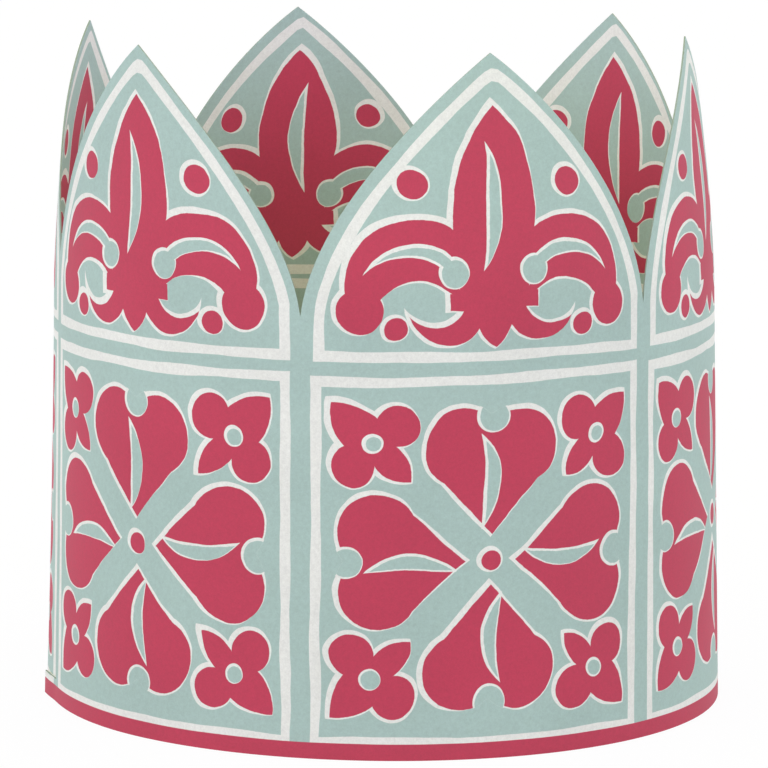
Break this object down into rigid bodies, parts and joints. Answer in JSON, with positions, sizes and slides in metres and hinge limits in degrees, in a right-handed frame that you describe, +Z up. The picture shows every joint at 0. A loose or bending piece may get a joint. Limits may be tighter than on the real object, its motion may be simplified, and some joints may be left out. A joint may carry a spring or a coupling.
{
  "type": "paper crown",
  "caption": "Stand-up ring of printed card with pointed arches along its top, worn on the head.",
  "frame": {"origin": "centre of the ring on the surface that the crown stands on", "axes": "+Z up along the ring's axis; -Y out through the front panel; +X to the wearer's left"},
  "size_m": [0.1812, 0.1858, 0.177],
  "materials": {
    "printed_card": "matt uncoated card printed in flat sage green, raspberry and off-white inks"
  },
  "bodies": {
    "root": {"crown_sheet": "printed_card"}
  },
  "joints": []
}
